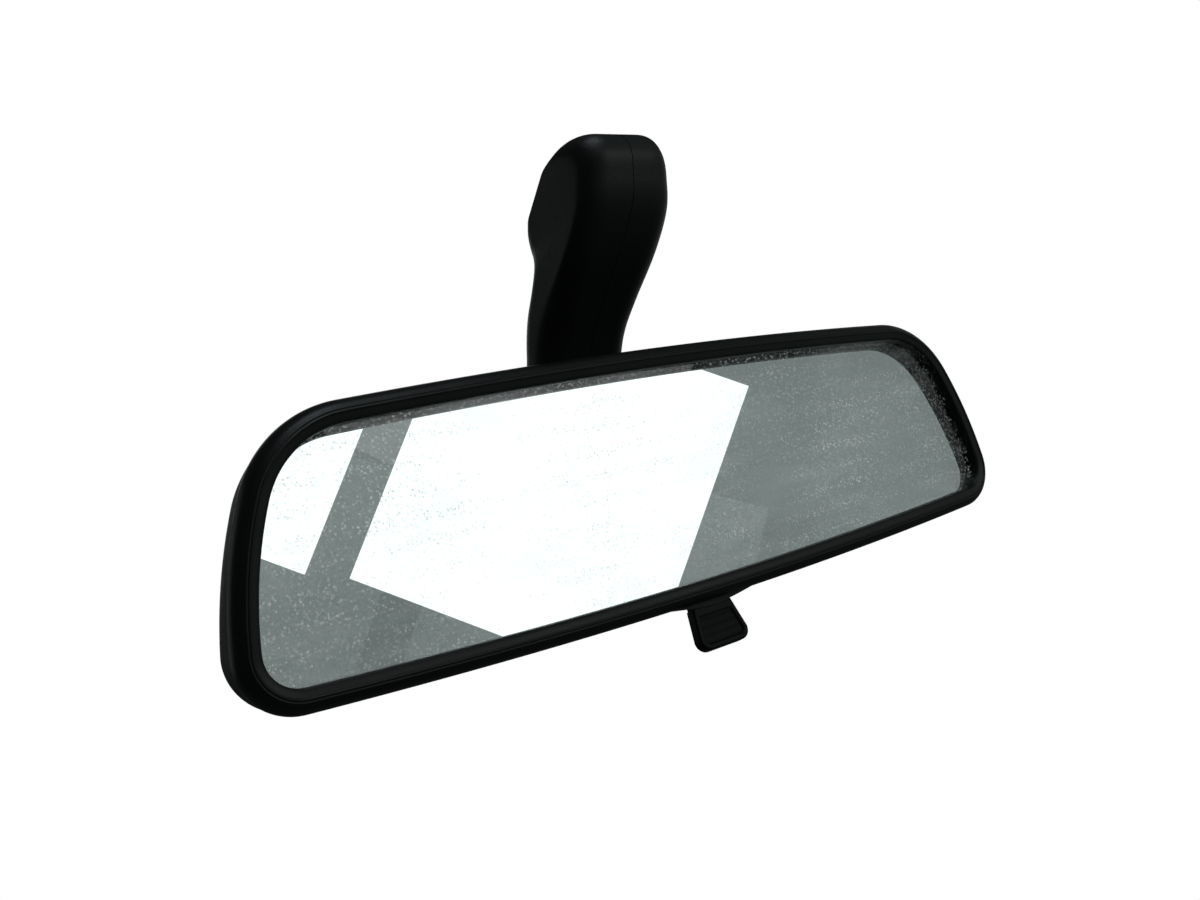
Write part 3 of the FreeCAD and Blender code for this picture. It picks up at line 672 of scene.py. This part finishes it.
def arm_stations():
    """Front and back points (y, z) of the arm's sections from the foot down, in mm.

    The last number is how much narrower each side is there than ARM_HALF.
    """
    first = foot_point(-14.0, -0.85)
    last = foot_point(14.0, -0.85)
    rows = [(*first, *last, 0.0), (-17.2, 9.16, 11.4, -11.6, 0.0), (-23.2, 7.0, 11.7, -14.2, 0.0),
            (-25.72, 2.4, 11.6, -16.6, 0.0), (-24.6, -3.4, 11.7, -19.0, -0.4),
            (-21.4, -10.6, 12.7, -21.6, -0.9), (-12.8, -19.7, 15.4, -25.2, -1.2),
            (-0.2, -30.3, 20.6, -30.8, -1.0), (8.0, -38.2, 25.0, -38.6, -0.6),
            (14.6, -49.0, 28.9, -49.6, -0.3), (18.4, -62.0, 32.2, -62.0, 0.0),
            (19.4, -76.0, 33.2, -76.0, 0.0), (20.6, -84.0, 31.8, -84.0, 2.0)]
    return smooth_line(rows, 8)


def half_section(front, back, half, rounding, side, start):
    """Half of a rounded oblong, from the seam at the front round one side to the seam at the back."""
    along = (back - front).normalized()
    depth = (back - front).length
    r = min(rounding, 0.48 * depth)
    points = []
    for k in range(8):
        points.append((start + (half - r - start) * k / 8, 0.0))
    for k in range(13):
        angle = math.pi / 2 * k / 12
        points.append((half - r + r * math.sin(angle), r - r * math.cos(angle)))
    for k in range(1, 8):
        points.append((half, r + (depth - 2 * r) * k / 8))
    for k in range(13):
        angle = math.pi / 2 * k / 12
        points.append((half - r + r * math.cos(angle), depth - r + r * math.sin(angle)))
    for k in range(1, 9):
        points.append((half - r + (start - half + r) * k / 8, depth))
    return [Vector((side * x, front.y, front.z)) + along * d for x, d in points]


def cover_rows(side, inset):
    rows = []
    for fy, fz, by, bz, narrow in arm_stations():
        front = Vector((0, fy, fz)) * MM
        back = Vector((0, by, bz)) * MM
        along = (back - front).normalized()
        half = ARM_HALF - inset - narrow * MM
        rows.append(half_section(front + along * inset, back - along * inset, half,
                                 ARM_ROUND - inset, side, SEAM))
    return rows


def make_cover(side, name, node):
    """One half cover of the arm, with its seam faces and half of the hole for the neck."""
    bm = bmesh.new()
    outer = grid(bm, cover_rows(side, 0), closed=False)
    inner = grid(bm, cover_rows(side, COVER_WALL), closed=False)
    for a, b in ((outer[0], inner[0]), (outer[-1], inner[-1])):
        for k in range(len(a) - 1):
            bm.faces.new((a[k], a[k + 1], b[k + 1], b[k]))
    for k in range(len(outer) - 1):
        for j in (0, -1):
            bm.faces.new((outer[k][j], outer[k + 1][j], inner[k + 1][j], inner[k][j]))
    piece = new_object(name, bm, ARM_BLACK, "arm", [node])
    carve(piece, round_hole((BALL.x, BALL.y + 12 * MM, BALL.z), NECK_HOLE, 8 * MM, 64))
    sharpen(piece, 40)


# ---------------------------------------------------------------- day/night lever
def tab_loop(inset, depth, drop):
    """One outline of the tapered tab: narrow at the top, with round lower corners."""
    long = TAB_LENGTH - inset
    wide = TAB_HALF - inset
    narrow = wide - TAB_TAPER + TAB_TAPER * drop / TAB_LENGTH
    r = max(TAB_CORNER - inset, TAB_EDGE)
    corner = []
    for k in range(11):
        angle = math.pi / 2 * k / 10
        corner.append((wide - r + r * math.cos(angle), -long + r - r * math.sin(angle)))
    mirrored = [(-x, z) for x, z in reversed(corner)]
    points = [(narrow, -drop)] + corner + mirrored + [(-narrow, -drop)]
    return [Vector((x, depth - TAB_THICK / 2, z)) for x, z in points]


def make_tab():
    """The finger tab: a rounded rim round a recessed, dotted panel."""
    rows = []
    for k in range(6):
        angle = math.pi / 2 * k / 5
        inset = TAB_EDGE * (1 - math.sin(angle))
        rows.append(tab_loop(inset, TAB_THICK - TAB_EDGE * (1 - math.cos(angle)), 0.0))
    for k in range(6):
        angle = math.pi / 2 * k / 5
        inset = TAB_EDGE * (1 - math.cos(angle))
        rows.append(tab_loop(inset, TAB_EDGE * (1 - math.sin(angle)), 0.0))
    rows.append(tab_loop(TAB_RIM - 0.3 * MM, 0.0, 2.0 * MM))
    rows.append(tab_loop(TAB_RIM, 0.15 * MM, 2.15 * MM))
    rows.append(tab_loop(TAB_RIM + 0.25 * MM, 0.6 * MM, 2.35 * MM))
    bm = bmesh.new()
    made = grid(bm, rows)
    cap(bm, made[0])
    before = set(bm.faces)
    cap(bm, made[-1])
    for face in bm.faces:
        face.material_index = 0 if face in before else 1
    top = Vector((0.0, LEVER_PIN.y - TAB_FRONT + TAB_THICK / 2, LEVER_PIN.z - TAB_BELOW))
    lean = Matrix.Translation(top) @ Matrix.Rotation(-math.radians(TAB_LEAN), 4, "X")
    bmesh.ops.transform(bm, matrix=lean, verts=bm.verts)
    tab = new_object("lever_tab", bm, LEVER_BLACK, "lever", ["day_night_lever"])
    tab.data.materials.append(PANEL_BLACK)
    sharpen(tab, 50)


def make_hub():
    """The neck, the hub on its pin and the cam finger, inside the housing."""
    bm = bmesh.new()
    turn = Matrix.Rotation(math.pi / 2, 4, "Y")
    finger = LEVER_PIN + Vector((0, 0, FINGER_HEIGHT))
    add_rod(bm, LEVER_PIN, turn, HUB_RADIUS, HUB_LENGTH, 48)
    add_rod(bm, finger, turn, FINGER_RADIUS, FINGER_LENGTH, 48)
    blocks = [((-6.4, -6.7, -9.6), (6.4, -4.0, 0.9)),
              ((-6.4, -6.7, -2.5), (6.4, 0.0, 0.9)),
              ((-4.0, -0.8, 0.0), (4.0, 0.8, 5.1))]
    for low, high in blocks:
        add_block(bm, LEVER_PIN + Vector(low) * MM, LEVER_PIN + Vector(high) * MM)
    hub = new_object("lever_hub", bm, LEVER_BLACK, "lever", ["day_night_lever"])
    bevel = hub.modifiers.new("round", "BEVEL")
    bevel.width = 0.2 * MM
    bevel.segments = 2
    sharpen(hub, 35)


# ---------------------------------------------------------------- stage, camera, light
def make_camera():
    """A short lens close to the left of the head, level with it and rolled a little."""
    data = bpy.data.cameras.new("camera")
    data.lens = 33.0
    data.sensor_width = 36.0
    data.clip_start = 0.01
    camera = bpy.data.objects.new("camera", data)
    bpy.context.scene.collection.objects.link(camera)
    right = Vector((0.78484, -0.57409, -0.23332))
    down = Vector((-0.15514, 0.18250, -0.97089))
    forward = right.cross(down)
    spot = Vector((-187.30 * MM, GLASS_Y - 214.59 * MM, MID_Z - 5.12 * MM))
    camera.matrix_world = Matrix((
        (right.x, -down.x, -forward.x, spot.x),
        (right.y, -down.y, -forward.y, spot.y),
        (right.z, -down.z, -forward.z, spot.z),
        (0.0, 0.0, 0.0, 1.0)))
    bpy.context.scene.camera = camera


def area_light(name, spot, aim, size, radiance, colour=(1.0, 1.0, 1.0), roll=0.0):
    """A soft box that faces a point, with the brightness its surface shows."""
    data = bpy.data.lights.new(name, "AREA")
    data.shape = "RECTANGLE"
    data.size, data.size_y = size
    data.energy = radiance * math.pi * size[0] * size[1]
    data.color = colour
    light = bpy.data.objects.new(name, data)
    light.visible_camera = False
    bpy.context.scene.collection.objects.link(light)
    turn = (Vector(aim) - Vector(spot)).to_track_quat("-Z", "Y").to_matrix().to_4x4()
    light.matrix_world = Matrix.Translation(spot) @ turn @ Matrix.Rotation(math.radians(roll), 4, "Z")


def make_floor():
    """A pale round sheet of paper under the mirror, which adds no light of its own to it."""
    n = Nodes("floor_paper")
    where = n.place()
    shader = n.shader(Roughness=0.9, **{"Emission Strength": 0.55})
    shader.inputs["Emission Color"].default_value = (0.95, 0.96, 0.96, 1.0)
    n.link(n.ramp(n.noise(where, 3.0), [(0.3, (0.93, 0.93, 0.93)), (0.7, (0.96, 0.96, 0.96))]),
           shader.inputs["Base Color"])
    n.link(n.bump(n.noise(where, 400.0), 0.05, 0.0002), shader.inputs["Normal"])
    bm = bmesh.new()
    bmesh.ops.create_circle(bm, cap_ends=True, segments=96, radius=FLOOR_RADIUS)
    mesh = bpy.data.meshes.new("floor")
    bm.to_mesh(mesh)
    bm.free()
    floor = bpy.data.objects.new("floor", mesh)
    floor.location.z = cad_low.z - FLOOR_DROP
    bpy.context.scene.collection.objects.link(floor)
    mesh.materials.append(n.material)
    floor.visible_diffuse = False
    floor.visible_glossy = False


def make_world():
    """A white backdrop, and a dim, uneven room that is brighter in front and to the right."""
    world = bpy.data.worlds.new("studio")
    world.use_nodes = True
    tree = world.node_tree
    tree.nodes.clear()
    out = tree.nodes.new("ShaderNodeOutputWorld")
    seen = tree.nodes.new("ShaderNodeBackground")
    seen.inputs["Color"].default_value = (1.0, 1.0, 1.0, 1.0)
    seen.inputs["Strength"].default_value = 1.0
    room = tree.nodes.new("ShaderNodeBackground")
    where = tree.nodes.new("ShaderNodeTexCoord")
    drift = tree.nodes.new("ShaderNodeTexNoise")
    drift.inputs["Scale"].default_value = 2.2
    drift.inputs["Detail"].default_value = 2.0
    shade = tree.nodes.new("ShaderNodeValToRGB")
    shade.color_ramp.elements[0].position = 0.36
    shade.color_ramp.elements[0].color = (0.42, 0.49, 0.47, 1.0)
    shade.color_ramp.elements[1].position = 0.64
    shade.color_ramp.elements[1].color = (0.86, 0.96, 0.94, 1.0)
    tree.links.new(where.outputs["Generated"], drift.inputs["Vector"])
    tree.links.new(drift.outputs["Fac"], shade.inputs["Fac"])
    tree.links.new(shade.outputs["Color"], room.inputs["Color"])
    facing = tree.nodes.new("ShaderNodeVectorMath")
    facing.operation = "DOT_PRODUCT"
    facing.inputs[1].default_value = (0.61, -0.77, 0.18)
    tree.links.new(where.outputs["Generated"], facing.inputs[0])
    fall = tree.nodes.new("ShaderNodeMapRange")
    for socket, number in zip(("From Min", "From Max", "To Min", "To Max"), (0.45, 0.80, 0.05, 0.26)):
        fall.inputs[socket].default_value = number
    tree.links.new(facing.outputs["Value"], fall.inputs["Value"])
    tree.links.new(fall.outputs["Result"], room.inputs["Strength"])
    path = tree.nodes.new("ShaderNodeLightPath")
    mix = tree.nodes.new("ShaderNodeMixShader")
    tree.links.new(path.outputs["Is Camera Ray"], mix.inputs["Fac"])
    tree.links.new(room.outputs[0], mix.inputs[1])
    tree.links.new(seen.outputs[0], mix.inputs[2])
    tree.links.new(mix.outputs[0], out.inputs["Surface"])
    bpy.context.scene.world = world
    bpy.context.scene.view_settings.view_transform = "Standard"


def make_lights():
    """Two panes in front, seen in the mirror, and soft boxes from above and behind."""
    head = Vector((0.0, GLASS_Y, MID_Z))
    across = Vector((0.784, 0.620, 0.0))
    board = head + Vector((0.541, -0.706, -0.003))
    cool = (0.965, 0.99, 1.0)

    def pane(name, side, up, size, radiance):
        """A soft box in the plane of the board, turned like a roof window."""
        spot = board + across * side + Vector((0, 0, up))
        toward = spot + Vector((-0.620, 0.784, 0.0))
        area_light(name, spot, toward, size, radiance, cool, WINDOW_TURN)

    pane("window_large", -0.075, 0.0365 + PRISM_LIFT, (0.333, 0.355), 1.22)
    pane("window_small", -0.348, 0.198 + PRISM_LIFT, (0.20, 0.30), 1.16)
    arm_top = head + Vector((0.0, 0.0, 0.085))
    soft_boxes = [
        ("front_top", arm_top, (-0.10, -0.66, 0.46), (0.30, 0.26), 0.7, (0.84, 0.93, 1.0)),
        ("overhead", arm_top, (0.02, -0.22, 0.72), (0.46, 0.36), 2.2, (0.82, 0.92, 1.0)),
        ("behind", head, (0.25, 0.85, 0.25), (0.70, 0.50), 0.8, (0.95, 1.0, 0.99)),
        ("side_back", head, (-0.62, 0.62, 0.15), (0.45, 0.60), 0.30, (0.90, 1.0, 0.96)),
        ("right_back", head, (0.75, 0.30, 0.10), (0.40, 0.50), 0.35, (0.92, 1.0, 0.97))]
    for name, aim, away, size, radiance, colour in soft_boxes:
        area_light(name, aim + Vector(away), aim, size, radiance, colour)


# ---------------------------------------------------------------- build
dress_cad_nodes()
make_bezel()
make_glass()
make_housing()
make_cover(-1, "arm_cover_left", "cover_left")
make_cover(1, "arm_cover_right", "cover_right")
make_tab()
make_hub()
make_camera()
make_floor()
make_world()
make_lights()
